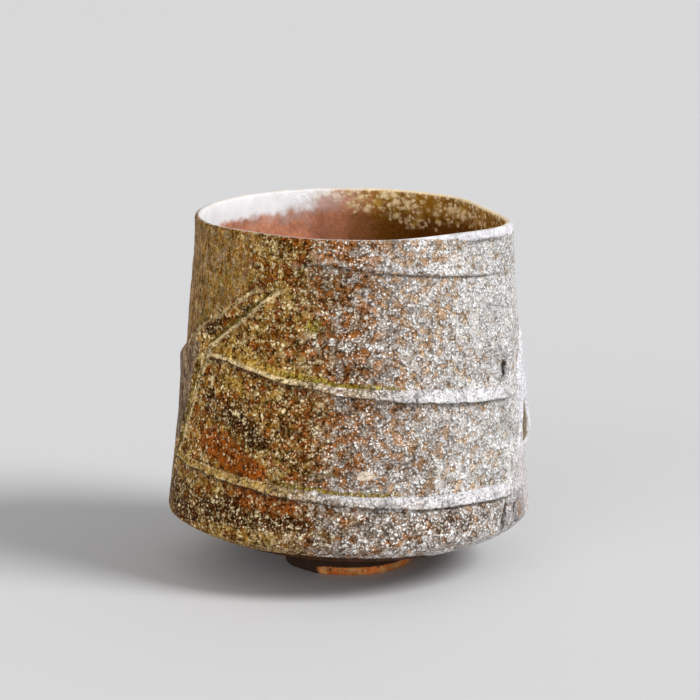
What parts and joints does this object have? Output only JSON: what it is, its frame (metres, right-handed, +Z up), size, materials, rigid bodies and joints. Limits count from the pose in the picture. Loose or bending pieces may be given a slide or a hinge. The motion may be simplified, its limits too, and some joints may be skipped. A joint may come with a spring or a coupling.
{
  "type": "yunomi tea cup",
  "caption": "Tall handleless stoneware tea cup with paddled faces, sloping ridges, a side seam lap and a turned foot ring.",
  "frame": {"origin": "centre of the cup's footprint, on the surface it stands on", "axes": "+Z up through the mouth, -Y towards the picture's viewer, +X towards the side seam"},
  "size_m": [0.0862, 0.0805, 0.0842],
  "materials": {
    "ash_glaze": "pebbly wood-ash glaze, half gloss",
    "lap_glaze": "thin frosted white ash glaze, half gloss",
    "floor_glaze": "thin pooled ash glaze, half gloss",
    "bare_clay": "bare fired stoneware, matt"
  },
  "bodies": {
    "root": {"wall": "ash_glaze", "seam_lap": "lap_glaze", "floor": "floor_glaze", "foot_ring": "bare_clay"}
  },
  "joints": []
}
